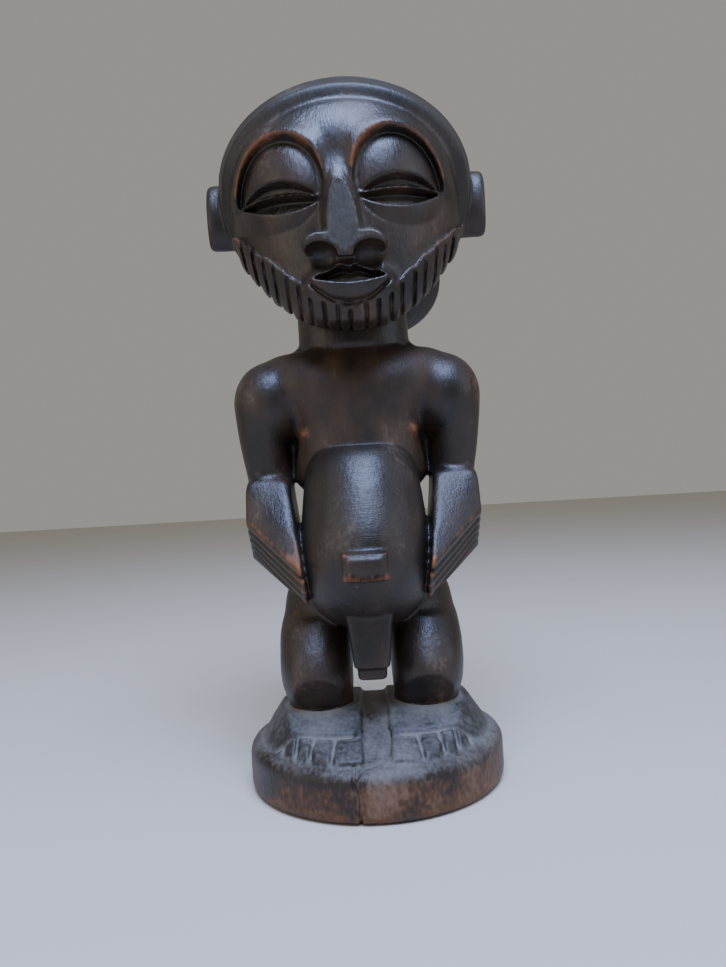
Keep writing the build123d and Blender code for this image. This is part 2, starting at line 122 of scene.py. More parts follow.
class Block:
    """Wood on a grid of points, in millimetres.

    A field has one number for each point: how far it is outside a surface, or less than
    0 inside. parts holds one for each CAD node, and wood is the carved surface. Distances are
    true within reach mm of a surface.
    """

    def __init__(self, nodes, grid, reach):
        self.grid = grid
        self.reach = reach
        corners = np.array([[tuple(corner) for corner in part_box(node)] for node in nodes]) * MM
        self.first = np.floor(corners[:, 0].min(0) / grid).astype(int) - AIR
        last = np.ceil(corners[:, 1].max(0) / grid).astype(int) + AIR
        self.shape = tuple(int(count) for count in last - self.first + 1)
        axes = [
            ((np.arange(count) + start) * grid).astype(np.float32)
            for count, start in zip(self.shape, self.first)
        ]
        self.x, self.y, self.z = np.meshgrid(*axes, indexing="ij", sparse=True)
        self.parts = {node: self.distance(*faces_of(node)) for node in nodes}

    def distance(self, points, triangles=None, quads=None):
        """The distance field of a closed mesh."""
        band = self.reach / self.grid
        solid = openvdb.FloatGrid.createLevelSetFromPolygons(
            points.astype(np.float32),
            triangles=triangles,
            quads=quads,
            transform=openvdb.createLinearTransform(voxelSize=self.grid),
            exBandWidth=band,
            inBandWidth=band,
        )
        field = np.empty(self.shape, np.float32)
        solid.copyToArray(field, ijk=tuple(int(start) for start in self.first))
        return field

    def skin(self, field, level, first=None):
        """The mesh where the field crosses a level."""
        first = self.first if first is None else first
        solid = openvdb.FloatGrid()
        solid.copyFromArray(np.ascontiguousarray(field), ijk=tuple(int(start) for start in first))
        solid.transform = openvdb.createLinearTransform(voxelSize=self.grid)
        return solid.convertToQuads(isovalue=level)

    def merge(self, crisp, soft, soft_nodes):
        """Makes the parts one piece of wood, its edges eased by crisp or soft mm."""
        filled = sum(np.clip(0.5 - part / self.grid, 0, 1) for part in self.parts.values())
        filled = np.minimum(filled, 1)
        names = list(self.parts)
        others = [self.parts[name] for name in names if name not in soft_nodes]
        softs = [self.parts[name] for name in names if name in soft_nodes]
        is_soft = np.minimum.reduce(softs) < np.minimum.reduce(others)
        share = blurred(is_soft.astype(np.float32), soft / self.grid)
        eased = blurred(filled, crisp / self.grid) * (1 - share)
        eased += blurred(filled, soft / self.grid) * share
        points, quads = self.skin(0.5 - eased, 0.0)
        self.wood = self.distance(points, quads=quads)

    def fill_creases(self, nodes, width, where):
        """Fills the creases between these nodes, as wide as width, in the place given."""
        filled = sum(np.clip(0.5 - self.parts[name] / self.grid, 0, 1) for name in nodes)
        points, quads = self.skin(0.5 - blurred(np.minimum(filled, 1), width / self.grid), 0.0)
        eased = self.distance(points, quads=quads) + self.reach * (1 - where)
        self.wood = joined(self.wood, eased, 1.0)

    def weather(self):
        """Notes how far each place is an edge or a hollow, for wear, dust and the painted shade in
        the hollows.
        """
        filled = np.clip(0.5 - self.wood / (2 * self.grid), 0, 1)
        self.edges = 0.5 - blurred(filled, EDGE_WIDTH / self.grid)
        self.shade = 0.5 - blurred(filled, HOLLOW_WIDTH / self.grid)

    def sample(self, field, points, first=None):
        """The field's values at points, in millimetres."""
        spots = points / self.grid - (self.first if first is None else first)
        corner = np.clip(np.floor(spots).astype(int), 0, np.array(field.shape) - 2)
        part = spots - corner
        total = np.zeros(len(points))
        for step in np.ndindex(2, 2, 2):
            weight = np.prod(np.where(step, part, 1 - part), axis=1)
            total += weight * field[tuple((corner + step).T)]
        return total

    def section(self, nodes):
        """The closed mesh of the wood that belongs to these nodes.

        With it comes how far each of its points is inside their part of the wood.
        """
        corners = np.array([[tuple(corner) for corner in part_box(node)] for node in nodes]) * MM
        low = np.floor((corners[:, 0].min(0) - self.reach) / self.grid).astype(int) - self.first
        high = np.ceil((corners[:, 1].max(0) + self.reach) / self.grid).astype(int) - self.first
        low = np.maximum(low, 0)
        window = tuple(slice(start, end) for start, end in zip(low, high))
        own = np.minimum.reduce([self.parts[name][window] for name in nodes])
        rest = [part[window] for name, part in self.parts.items() if name not in nodes]
        region = (own - np.minimum.reduce(rest)) / 2
        shape = self.wood[window] + SINK * np.maximum(region, 0)
        shape = np.maximum(shape, np.maximum(region - LAP, own - STRAY))
        points, quads = self.skin(shape, 0.0, self.first + low)
        return points, quads, -self.sample(region, points, self.first + low)


EDGE_WIDTH = 1.0  # mm, the width over which an edge is felt
HOLLOW_WIDTH = 3.0  # mm, the same for a hollow, which holds dust and is painted darker as shade

FACET_TABLE = np.random.default_rng(11).random((48, 48, 96, 3))  # where each facet lies


def facets(points, size):
    """Knife facets: 0 in the middle of each, and about 1 on the ridges between."""
    spots = points / np.array(size) + 16
    cell = np.floor(spots).astype(int)
    nearest = np.full(len(points), 9.0)
    for step in np.ndindex(3, 3, 3):
        other = cell + step - 1
        middle = other + FACET_TABLE[tuple((other % FACET_TABLE.shape[:3]).T)]
        nearest = np.minimum(nearest, ((spots - middle) ** 2).sum(1))
    return nearest


def wander(points):
    """A slow unevenness of a hand-carved surface, from about -1 to 1."""
    x, y, z = (points / 9.0).T
    return (
        np.sin(0.9 * x + 1.7 * np.sin(0.6 * z) + 0.4)
        + np.sin(0.8 * z + 1.3 * np.sin(0.7 * y) + 2.1)
        + np.sin(0.9 * y + 1.1 * np.sin(0.8 * x) + 4.2)
    ) / 3


def carved_piece(name, block, nodes, finish, marks=(9, 9, 12), depth=0.2, worn=0.0,
                 dust=0.0, rub=None, features=()):
    """A section of the wood as an object, with its knife marks, wear and dust, and how hollow each
    place is, which its finish paints darker as shade.

    features are more CAD nodes whose shape is carved into it.
    """
    points, quads, inside = block.section(nodes)
    mesh = bpy.data.meshes.new(name)
    mesh.from_pydata((points / MM).tolist(), [], quads.tolist())
    normals = np.empty(len(points) * 3, np.float32)
    mesh.vertex_normals.foreach_get("vector", normals)
    normals = normals.reshape(-1, 3)
    lift = depth * (facets(points, marks) - 0.6) + 0.15 * wander(points)
    lift = lift * ramp(inside, 0.0, SEAM)  # so that neighbours lie flush
    lift = np.minimum(lift, 0.0) if nodes == ["plinth"] else lift
    moved = points + normals * lift[:, None]
    low, high = (np.array(corner) * MM for corner in cad_box)
    moved = np.clip(moved, low, high)
    mesh.vertices.foreach_set("co", (moved / MM).astype(np.float32).ravel())
    edge = np.clip(block.sample(block.edges, points) * 5 - 0.35, 0, 1)
    shade = np.clip(-block.sample(block.shade, points) * 3, 0, 1)
    rubbed = np.clip(edge + (rub(points, normals) if rub else 0), 0, 2) * worn
    dusty = dust * np.clip(0.2 + 0.5 * normals[:, 2] + 1.6 * shade, 0, 1.4)
    for mark, values in (("worn", rubbed), ("hollow", shade), ("dust", dusty)):
        layer = mesh.attributes.new(mark, "FLOAT", "POINT")
        layer.data.foreach_set("value", values.astype(np.float32))
    mesh.shade_smooth()
    mesh.materials.append(finish)
    piece = bpy.data.objects.new(name, mesh)
    bpy.context.scene.collection.objects.link(piece)
    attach(piece, "root")
    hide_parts(*nodes, *features)


def srgb(code):
    """A colour written as sRGB hex, turned to linear light."""
    parts = [int(code[place:place + 2], 16) / 255 for place in (1, 3, 5)]
    return tuple(p / 12.92 if p <= 0.04045 else ((p + 0.055) / 1.055) ** 2.4 for p in parts) + (1,)


def add_node(material, kind, settings=(), links=()):
    """Adds a node: settings are its properties or its input values, links its inputs."""
    made = material.node_tree.nodes.new(kind)
    for key, value in dict(settings).items():
        if isinstance(key, str) and hasattr(made, key):
            setattr(made, key, value)
        else:
            made.inputs[key].default_value = value
    for key, output in dict(links).items():
        material.node_tree.links.new(output, made.inputs[key])
    return made


FIBRE = 0.7  # mm across a bundle of wood fibres, drawn coarse enough to show
FIBRE_LENGTH = 14.0  # mm
MOTTLE = 16.0  # mm across a patch of darker or warmer wax
GRIT = 1.6  # mm across the breaks in a worn or dusty patch


def waxed_hardwood(name, wax, wood, bare, dust, roughness=0.3, scratch=(1.0, 1.0, 0.05),
                   scratch_depth=0.08, hollow_shade_and_dust="#0d0a08"):
    """Hardwood blackened with years of oil, wax and handling, over a carved surface.

    The wax gives a soft, cool gloss. The brown wood shows through it in patches, and is
    bare and orange where an edge is rubbed. Dust lies dull on it. The cuts and hollows are
    painted darker as shade, towards near black, unless a pale dust colour is given for them.
    """
    made = bpy.data.materials.new(name)
    made.use_nodes = True
    made.node_tree.nodes.clear()
    place = add_node(made, "ShaderNodeTexCoord").outputs["Object"]

    def noise(size, stretch=(1.0, 1.0, 1.0), detail=4.0):
        spread = add_node(
            made, "ShaderNodeMapping", {"Scale": tuple(s * MM / size for s in stretch)},
            {"Vector": place})
        return add_node(
            made, "ShaderNodeTexNoise", {"Scale": 1.0, "Detail": detail},
            {"Vector": spread.outputs["Vector"]}).outputs["Fac"]

    def arithmetic(operation, first, second, third=0.0, limit=False):
        values = (first, second, third)
        fixed = {i: v for i, v in enumerate(values) if isinstance(v, float)}
        linked = {i: v for i, v in enumerate(values) if not isinstance(v, float)}
        return add_node(
            made, "ShaderNodeMath", {"operation": operation, "use_clamp": limit, **fixed},
            linked).outputs["Value"]

    def step(value, start, end):
        return add_node(
            made, "ShaderNodeMapRange", {"From Min": start, "From Max": end},
            {"Value": value}).outputs["Result"]

    def mixed(share, first, second):
        settings = {"data_type": "RGBA"}
        links = {"Factor": share}
        node = add_node(made, "ShaderNodeMix", settings, links)
        for socket, value in ((6, first), (7, second)):
            if isinstance(value, tuple):
                node.inputs[socket].default_value = value
            else:
                made.node_tree.links.new(value, node.inputs[socket])
        return node.outputs[2]

    fibres = noise(FIBRE, (1.0, 1.0, FIBRE / FIBRE_LENGTH))
    mottle = noise(MOTTLE, (1.0, 1.0, 0.6), 6.0)
    grit = noise(GRIT, (1.0, 1.0, 0.6), 3.0)
    lines = noise(FIBRE, scratch, 3.0)
    marks = {
        mark: add_node(made, "ShaderNodeAttribute", {"attribute_name": mark}).outputs["Fac"]
        for mark in ("worn", "hollow", "dust")
    }
    broken = arithmetic("MULTIPLY_ADD", grit, 0.8, -1.05)
    broken = arithmetic("MULTIPLY_ADD", mottle, 1.3, broken)
    worn = step(arithmetic("ADD", marks["worn"], broken), 0.22, 0.7)
    dusty = step(arithmetic("ADD", marks["dust"], broken), 0.2, 0.9)

    colour = mixed(step(mottle, 0.38, 0.66), srgb(wax), srgb(wood))
    colour = mixed(arithmetic("MULTIPLY", step(fibres, 0.35, 0.75), 0.3), colour, srgb(wood))
    colour = mixed(arithmetic("MULTIPLY", worn, 0.85), colour, srgb(bare))
    colour = mixed(arithmetic("MULTIPLY", dusty, 0.8), colour, srgb(dust))
    # painted shade: the hollows and cuts are darkened towards near black, or filled with pale dust
    # where that colour is given
    colour = mixed(arithmetic("MULTIPLY", marks["hollow"], 0.6), colour, srgb(hollow_shade_and_dust))

    rough = arithmetic("MULTIPLY_ADD", mottle, 0.3, roughness - 0.09)
    rough = arithmetic("MULTIPLY_ADD", dusty, 0.3, rough)
    rough = arithmetic("MULTIPLY_ADD", worn, 0.12, rough, limit=True)

    grain = add_node(
        made, "ShaderNodeBump", {"Strength": 1.0, "Distance": 0.06 / MM}, {"Height": fibres})
    scored = add_node(
        made, "ShaderNodeBump", {"Strength": 1.0, "Distance": scratch_depth / MM},
        {"Height": lines, "Normal": grain.outputs["Normal"]})
    pitted = add_node(
        made, "ShaderNodeBump", {"Strength": 1.0, "Distance": 0.16 / MM},
        {"Height": grit, "Normal": scored.outputs["Normal"]})
    shader = add_node(
        made, "ShaderNodeBsdfPrincipled", {"IOR": 1.48},
        {"Base Color": colour, "Roughness": rough, "Normal": pitted.outputs["Normal"]})
    add_node(made, "ShaderNodeOutputMaterial", (), {"Surface": shader.outputs["BSDF"]})
    return made


BODY_NODES = [
    "plinth", "right_foot", "left_foot", "right_leg", "left_leg", "hips", "phallus", "trunk",
    "belly", "navel", "right_upper_arm", "left_upper_arm", "right_forearm", "left_forearm",
    "right_hand", "left_hand", "neck",
]
BODY_REACH = 4.5  # mm each side of a surface in which distances are true
body = Block(BODY_NODES, GRID, BODY_REACH)
SOFT_NODES = (
    "right_leg", "left_leg", "hips", "trunk", "right_upper_arm", "left_upper_arm",
    "right_forearm", "left_forearm",
)
EDGE = 0.6  # mm that a crisp edge is eased by
SOFT_EDGE = 1.8  # mm, the same on the limbs and trunk
CREASE = 4.0  # mm, the width of the creases that the carver left filled
body.merge(EDGE, SOFT_EDGE, SOFT_NODES)
yoke = ("trunk", "right_upper_arm", "left_upper_arm", "neck")
body.fill_creases(yoke, CREASE, ramp(body.z, 158, 166) * ramp(np.abs(body.x), 18, 26))
thighs = ("hips", "right_leg", "left_leg")
body.fill_creases(thighs, CREASE, ramp(np.abs(body.x), 8, 12) * ramp(body.z, 54, 60))

CRACK_WIDTH = 0.55  # mm, half of it at the surface
CRACK_DEPTH = 1.2  # mm, as deep as it can be seen into
CRACK_SLOPE = 0.105  # sideways travel for each mm of height
CRACK_X = -8.5  # mm, half way up the plinth
plinth_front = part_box("plinth")[0].y * MM
plinth_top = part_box("right_foot")[0].z * MM


def crack_path(height):
    """The crack's x at a height: it wanders a little as it climbs."""
    return CRACK_X + CRACK_SLOPE * (plinth_top / 2 - height) + 0.35 * np.sin(height * 0.7)


crack = bump(body.x - crack_path(body.z), CRACK_WIDTH) * (body.z < plinth_top + 1)
body.wood += CRACK_DEPTH * crack * ramp(body.y, plinth_front / 2, plinth_front)

# the crack runs on across the top, to the inner side of the left foot
TOP_CRACK_WIDTH = 0.6
TOP_CRACK = ((-9.0, -52.0), (-5.5, -47.0), (3.0, -43.0), (5.2, -36.0), (5.6, -20.0))
plan = np.full(body.shape[:2] + (1,), 99.0, np.float32)
for (x0, y0), (x1, y1) in zip(TOP_CRACK, TOP_CRACK[1:]):
    run = np.array((x1 - x0, y1 - y0))
    along = ((body.x - x0) * run[0] + (body.y - y0) * run[1]) / (run @ run)
    along = np.clip(along, 0, 1)
    gap = np.hypot(body.x - x0 - along * run[0], body.y - y0 - along * run[1])
    plan = np.minimum(plan, gap)
near_top = ramp(body.z, plinth_top - 4, plinth_top - 2) * (body.z < plinth_top + 8)
body.wood += bump(plan, TOP_CRACK_WIDTH) * near_top

# ---------------------------------------------------------------- feet
# Flat feet, cut in low relief on the plinth. A knife line crosses each behind the toes,
# and short lines fan out between the toes, the big toe twice as broad as the rest.
TOE_LINES = (16.5, 25.0, 31.5, 38.0)  # mm from the middle, at the root of the toes
TOE_FAN = 0.16  # how far each line leans outwards for each mm forwards
TOE_ROOT = -31.0
TOE_DEPTH = 1.6
TOE_CUT = 0.85  # mm, half of a cut's width
for side, foot in ((-1, "right_foot"), (1, "left_foot")):
    out = side * body.x
    on_foot = ramp(body.parts[foot], 1.5, 0.5) * ramp(body.z, plinth_top, plinth_top + 2)
    root = TOE_ROOT + 0.006 * (out - 14) ** 2
    toes = ramp(body.y, root + 1.5, root - 0.5)
    lines = 0
    for line in TOE_LINES:
        leaning = line + TOE_FAN * (line / 30) * (TOE_ROOT - body.y)
        lines = np.maximum(lines, bump(out - leaning, TOE_CUT))
    across = bump(body.y - root, 0.8) * ramp(out, 8, 10)
    body.wood += TOE_DEPTH * np.maximum(lines * toes, 0.8 * across) * on_foot

# the knee is one flat cut, from its crest down to the instep
KNEE = (-27.6, 47.5)  # y and z of the crest
ANKLE = (-17.8, 34.0)
knee_run = (ANKLE[0] - KNEE[0], ANKLE[1] - KNEE[1])
shin = (body.y - KNEE[0]) * knee_run[1] - (body.z - KNEE[1]) * knee_run[0]
shin = shin / math.hypot(*knee_run)
below_knee = (body.z < KNEE[1] + 4) & (body.z > ANKLE[1] + 0.3) & (np.abs(body.x) > 10)
body.wood = np.where(below_knee, -joined(-body.wood, -shin, 0.8), body.wood)
body.weather()


def plinth_rub(points, normals):
    """The side is rubbed to brown wood, least of all under the rim."""
    outward = 1 - np.abs(normals[:, 2])
    low = ramp(points[:, 2], 6.0, 1.0)
    return 0.36 * outward * ramp(points[:, 2], 19.0, 13.0) + 0.25 * low


worn_plinth = waxed_hardwood(
    "rubbed_and_dusty_hardwood", "#1d1511", "#38261a", "#74481f", "#76746f", 0.38,
    scratch_depth=0.14)
carved_piece("plinth_wood", body, ["plinth"], worn_plinth,
             (14, 14, 22), 0.35, 1.0, 0.8, plinth_rub)

dusty_feet = waxed_hardwood(
    "dusty_waxed_hardwood", "#1f1e1e", "#312e2c", "#6a5038", "#76746f", 0.42,
    hollow_shade_and_dust="#98948b")
for foot in ("right_foot", "left_foot"):
    carved_piece(foot + "_wood", body, [foot], dusty_feet, (7, 7, 7), 0.35, 0.4,
                 0.7)

# ---------------------------------------------------------------- legs, hips and phallus
# Thick bent legs, cut with broad strokes of the knife that leave long flats on the
# thighs. The shins are rubbed on the inner side.
patina = waxed_hardwood(
    "blackened_waxed_hardwood", "#17130f", "#36281d", "#7c4a26", "#5a584c", 0.36)


def shin_rub(points, normals):
    """Wear down the inner side of the right shin and round both ankles."""
    inner = ramp(-points[:, 0], 18.0, 8.0) * (points[:, 0] < 0)
    low = ramp(points[:, 2], 56.0, 44.0)
    return 0.35 * inner * low + 0.2 * ramp(points[:, 2], 40.0, 35.0)


for leg in ("right_leg", "left_leg"):
    carved_piece(leg + "_wood", body, [leg], patina, (9, 9, 14), 0.5, 0.9,
                 0.15, shin_rub)
carved_piece("hips_wood", body, ["hips"], patina, (11, 11, 14), 0.35, 0.5, 0.1)
carved_piece("phallus_wood", body, ["phallus"], patina, (6, 6, 9), 0.25, 0.6)

# ---------------------------------------------------------------- trunk, belly and navel
# The chest is a flat yoke scored with fine upright scratches, with small raised nipples.
# The belly is a smooth barrel, scraped round with a blade, and polished by hands.
NIPPLE = (24.0, 150.0)  # mm from the middle, and height
NIPPLE_PROUD = 1.4
NIPPLE_WIDTH = 2.4
for side in (-1, 1):
    apart = np.hypot(body.x - side * NIPPLE[0], body.z - NIPPLE[1])
    body.wood -= NIPPLE_PROUD * bump(apart, NIPPLE_WIDTH) * ramp(body.y, -5, -12)

NAVEL_CHIP = 1.1  # mm knocked off its lower corners
navel_low, navel_high = (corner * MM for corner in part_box("navel"))
navel_mid = (navel_low + navel_high) / 2
corner_gap = np.abs(np.abs(body.x - navel_mid.x) - 5.5)
ragged = 1 + 0.5 * np.sin(body.x * 2.3) + 0.4 * np.sin(body.x * 5.1 + 1)
lower_edge = bump(body.z - navel_low.z - 1.0, 2.0)
lower_edge = lower_edge * ramp(body.y, navel_low.y + 5, navel_low.y + 2)
body.wood += NAVEL_CHIP * lower_edge * (0.4 + bump(corner_gap, 2.0)) * ragged
body.weather()

scored_chest = waxed_hardwood(
    "scored_waxed_hardwood", "#1c1611", "#443122", "#7c4c28", "#625e50", 0.42,
    (1.0, 1.0, 0.08), 0.16)
polished_belly = waxed_hardwood(
    "hand_polished_hardwood", "#191612", "#33281f", "#6c4528", "#5a584c", 0.36,
    (0.05, 1.0, 1.4), 0.12)
worn_edges = waxed_hardwood(
    "worn_waxed_hardwood", "#1c1712", "#3c2c20", "#864e28", "#625e52", 0.38)


def nipple_rub(points, normals):
    """Bare wood on each nipple."""
    apart = np.hypot(np.abs(points[:, 0]) - NIPPLE[0], points[:, 2] - NIPPLE[1])
    return 0.7 * bump(apart, 3.0) * (points[:, 1] < -5)


def navel_rub(points, normals):
    """Bare wood along the navel's lower edge."""
    return 0.45 * ramp(points[:, 2], navel_low.z + 4, navel_low.z)


carved_piece("trunk_wood", body, ["trunk"], scored_chest, (12, 12, 16), 0.35,
             0.7, 0.15, nipple_rub)
carved_piece("belly_wood", body, ["belly"], polished_belly, (14, 14, 9), 0.4,
             0.15, 0.15)
carved_piece("navel_wood", body, ["navel"], worn_edges, (5, 5, 5), 0.3, 1.2,
             0.0, navel_rub)

# ---------------------------------------------------------------- arms and hands
# Upper arms that hang from round shoulders, and square forearms with a crisp crook. Each
# hand is a flat slab, scored with four long cuts from the wrist to the fingertips.
FINGERS = 5
FINGER_CUT = 1.3
WRIST = np.array((50.0, -15.0, 114.0))
LITTLE_FINGER = np.array((50.0, 0.0, 97.0))
FINGERTIP = np.array((24.5, -38.5, 93.0))
reach_out = (FINGERTIP - WRIST) / np.linalg.norm(FINGERTIP - WRIST)
breadth = LITTLE_FINGER - WRIST
breadth = breadth - (breadth @ reach_out) * reach_out
hand_width = np.linalg.norm(breadth)
breadth = breadth / hand_width
outward = np.cross(breadth, reach_out)
for side, hand in ((-1, "right_hand"), (1, "left_hand")):
    place = (side * body.x - WRIST[0], body.y - WRIST[1], body.z - WRIST[2])
    down = sum(step * part for step, part in zip(place, breadth))
    length = sum(step * part for step, part in zip(place, reach_out))
    height = sum(step * part for step, part in zip(place, outward))
    fan = down * (1 + 0.006 * (20 - length))
    cuts = 0
    for cut in range(1, FINGERS):
        cuts = np.maximum(cuts, bump(fan - cut * hand_width / FINGERS, 0.75))
    on_hand = ramp(body.parts[hand], 1.5, 0.5) * ramp(np.abs(height), 4.0, 2.5)
    body.wood += FINGER_CUT * cuts * on_hand * ramp(length, 0.0, 4.0)
body.weather()


def shoulder_rub(points, normals):
    """A reddish rubbed patch on the outside of the left shoulder."""
    apart = np.linalg.norm(points - np.array((50.0, -8.0, 166.0)), axis=1)
    return 0.55 * bump(apart, 9.0)


def thumb_rub(points, normals):
    """Wear along the thumb, the upper edge of each hand."""
    place = np.abs(points) * (1, 0, 0) + points * (0, 1, 1) - WRIST
    return 0.4 * bump(place @ breadth, 1.3)


for side in ("right", "left"):
    carved_piece(side + "_upper_arm_wood", body, [side + "_upper_arm"], patina,
                 (9, 9, 14), 0.3, 0.7, 0.1, shoulder_rub)
    carved_piece(side + "_forearm_wood", body, [side + "_forearm"], patina,
                 (8, 8, 12), 0.25, 0.7, 0.1)
    carved_piece(side + "_hand_wood", body, [side + "_hand"], worn_edges,
                 (8, 8, 8), 0.15, 0.8, 0.2, thumb_rub)

# ---------------------------------------------------------------- neck
# A thick round post, cut with a few broad upright facets.
carved_piece("neck_wood", body, ["neck"], patina, (13, 13, 30), 0.5, 0.5)

# ---------------------------------------------------------------- head
# A big egg with a high polished forehead. The brows are two raised arches that run down
# into a long narrow nose. The eyes are nearly shut, deep slits between full lids, and the
# parted lips stand out from the jaw. The hair stands a little proud behind the face.
HEAD_GRID = 0.55
HEAD_NODES = ["head", "beard", "right_ear", "left_ear", "coiffure"]
HEAD_REACH = 7.0
HEAD_EDGE = 0.8
head = Block(HEAD_NODES, HEAD_GRID, HEAD_REACH)
head.merge(HEAD_EDGE, SOFT_EDGE, ("head", "coiffure"))
skin = head.parts["head"]

HAIR_PROUD = 2.0
HAIRLINE = (-12.0, 240.0)  # y and z of a point on the plane that the hair lies behind
HAIRLINE_LEAN = 0.73
behind = (head.y - HAIRLINE[0] + HAIRLINE_LEAN * (head.z - HAIRLINE[1])) / math.hypot(
    1, HAIRLINE_LEAN)
CORE = 8.0  # mm behind the hairline, where the head's solid wood goes with the hair
head.parts["coiffure"] = np.minimum(head.parts["coiffure"], np.maximum(skin, CORE - behind))
head.parts["head"] = np.maximum(skin, behind - CORE)

AXIS_LEAN = 0.045  # the face leans a little to the figure's right
EYE_X = 23.5  # mm from the face's axis
EYE_Z = 242.0
EYE_WIDE = 18.4
BROW_RISE = 21.5
LID_DROP = 16.0
BROW_PROUD = 2.4
SOCKET = -2.9
MOUTH_HALF = 15.5
MOUTH_Z = 205.8  # the corners of the mouth
mouth_low, mouth_high = (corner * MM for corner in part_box("mouth"))
mouth_mid = (mouth_low + mouth_high) / 2


def off_axis(x, z):
    """Distance from the face's leaning axis."""
    return x + 0.6 + AXIS_LEAN * (z - 204.0)


def eye_relief(x, z):
    """How far brow, lids and slit stand out from the plain egg of the head."""
    across = np.abs(off_axis(x, z))
    tall = np.where(z > EYE_Z, BROW_RISE, LID_DROP)
    ring = (np.hypot((across - EYE_X) / EYE_WIDE, (z - EYE_Z) / tall) - 1) * EYE_WIDE
    inside = ramp(ring, 0.3, -1.8)
    crest = BROW_PROUD * np.where(ring > 0, bump(ring, 4.5), 1.0)
    crest = crest * ramp(z, EYE_Z - 2, EYE_Z + 5) * ramp(across, 2.0, 7.0)
    dome = np.hypot((across - 23.4) / 17.6, (z - EYE_Z) / 20.0)
    upper = SOCKET + 5.2 * np.clip(1 - dome**2, 0, 1) ** 0.65
    along = np.clip((across - 9.0) / 30.5, 0, 1)
    arch = np.sin(np.pi * along)
    fold = 238.6 + 4.6 * arch**0.7 + 3.6 * along  # the lower edge of the domed lid
    rim = 238.0 + 0.9 * arch + 4.0 * along  # the thin edge of the upper lid
    slit = 236.2 - 4.2 * arch**0.8 + 5.0 * along**1.5
    low = np.hypot((across - 24.5) / 18.0, (z - EYE_Z) / LID_DROP)
    lower = -0.9 + 3.2 * np.clip(1 - low**2, 0, 1) ** 0.6
    depth = np.clip((z - slit) / np.maximum(rim - slit, 0.5), 0, 1)
    eye = np.where(z > fold, upper, -2.8)
    eye = np.where(z < rim + 0.6, 0.1, eye)
    eye = np.where(z < rim - 0.6, -1.2 - 4.6 * depth**0.7, eye)
    eye = np.where(z < slit, lower, eye)
    return crest * (1 - inside) + eye * inside


def mouth_relief(x, z):
    """An almond of raised lips, notched above, and parted along a shallow curve."""
    bow = np.clip(1 - (x / MOUTH_HALF) ** 2, 0, None)
    top = MOUTH_Z + 5.8 * bow - 1.6 * bump(x, 1.5)
    foot = MOUTH_Z - 8.4 * bow
    line = MOUTH_Z - 2.2 + 2.2 * (x / 13.0) ** 2
    lips = np.where(z > top, 0.0, 1.2)
    lips = np.where(z < top - 1.2, -3.6 + 2.2 * ramp(line - z, -2.5, 0.0), lips)
    lips = np.where(z < line, 1.6 - 0.22 * (line - z), lips)
    lips = np.where(z < foot, -1.3 * bump(z - foot + 0.5, 1.0), lips)
    return lips * ramp(np.abs(x), MOUTH_HALF + 0.6, MOUTH_HALF - 1.2)


FINE = 4  # a relief is drawn this many times finer than the grid, so that its edges run true


def drawn(relief):
    """A relief seen from the front, drawn finely and averaged on to the grid."""
    shift = ((np.arange(FINE) + 0.5) / FINE - 0.5) * HEAD_GRID
    x = (head.x.reshape(-1, 1) + shift).reshape(-1, 1)
    z = (head.z.reshape(-1, 1) + shift).reshape(1, -1)
    fine = relief(x, z).reshape(head.shape[0], FINE, head.shape[2], FINE)
    coarse = fine.mean((1, 3)).astype(np.float32)[:, None, :]
    return blurred(coarse, 0.3 / HEAD_GRID)


off = off_axis(head.x, head.z)
across = np.abs(off)
mound = np.sqrt(
    ((head.x - mouth_mid.x) / 17.0) ** 2
    + ((head.y + 43.0) / 6.6) ** 2
    + ((head.z - mouth_mid.z) / 8.0) ** 2
)
mound = (mound - 1) * 6.6
head.wood = joined(head.wood, mound, 4.0)
head.parts["head"] = np.minimum(head.parts["head"], mound)

front = ramp(head.y, -8.0, -16.0)
head.wood = head.wood - (drawn(eye_relief) + drawn(mouth_relief)) * front

nose_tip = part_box("nose")[0].y * MM
NOSE_HEIGHTS = (209.0, 212.0, 215.0, 222.0, 230.0, 240.0, 250.0, 262.0)
NOSE_HALVES = (1.6, 2.4, 3.2, 4.6, 5.3, 5.4, 5.8, 7.0)
NOSE_FRONTS = (0.8, 0.0, 0.0, 1.2, 3.2, 6.0, 10.0, 16.5)  # mm behind the tip
NOSE_ROOT = -20.0  # mm, as far back as its wood goes, inside the head
half = np.interp(head.z, NOSE_HEIGHTS, NOSE_HALVES)
ridge = nose_tip + 0.3 + np.interp(head.z, NOSE_HEIGHTS, NOSE_FRONTS)
nose = 0.55 * (ridge + 3.2 * (across / half) ** 2.2 - head.y)
nose = -joined(-nose, head.z - 210.4 - 0.35 * (head.y - nose_tip), 1.5)
nose = np.maximum(nose, np.maximum(head.z - NOSE_HEIGHTS[-1], head.y - NOSE_ROOT))
head.wood = joined(head.wood, nose, 1.6)
head.parts["head"] = np.minimum(head.parts["head"], nose)
for side in (-1, 1):
    wing = np.sqrt(
        ((off * side - 8.8) / 7.8) ** 2
        + ((head.y + 46.6) / 6.6) ** 2
        + ((head.z - 218.8) / 4.8) ** 2
    )
    wing = (wing - 1) * 4.8
    head.wood = joined(head.wood, wing, 1.0)
    head.parts["head"] = np.minimum(head.parts["head"], wing)
    nostril = np.sqrt(
        ((off * side - 9.6) / 6.8) ** 2
        + ((head.y + 49.6) / 7.0) ** 2
        + ((head.z - 213.4) / 5.6) ** 2
    )
    head.wood = cut_away(head.wood, (nostril - 1) * 5.6, 0.6)

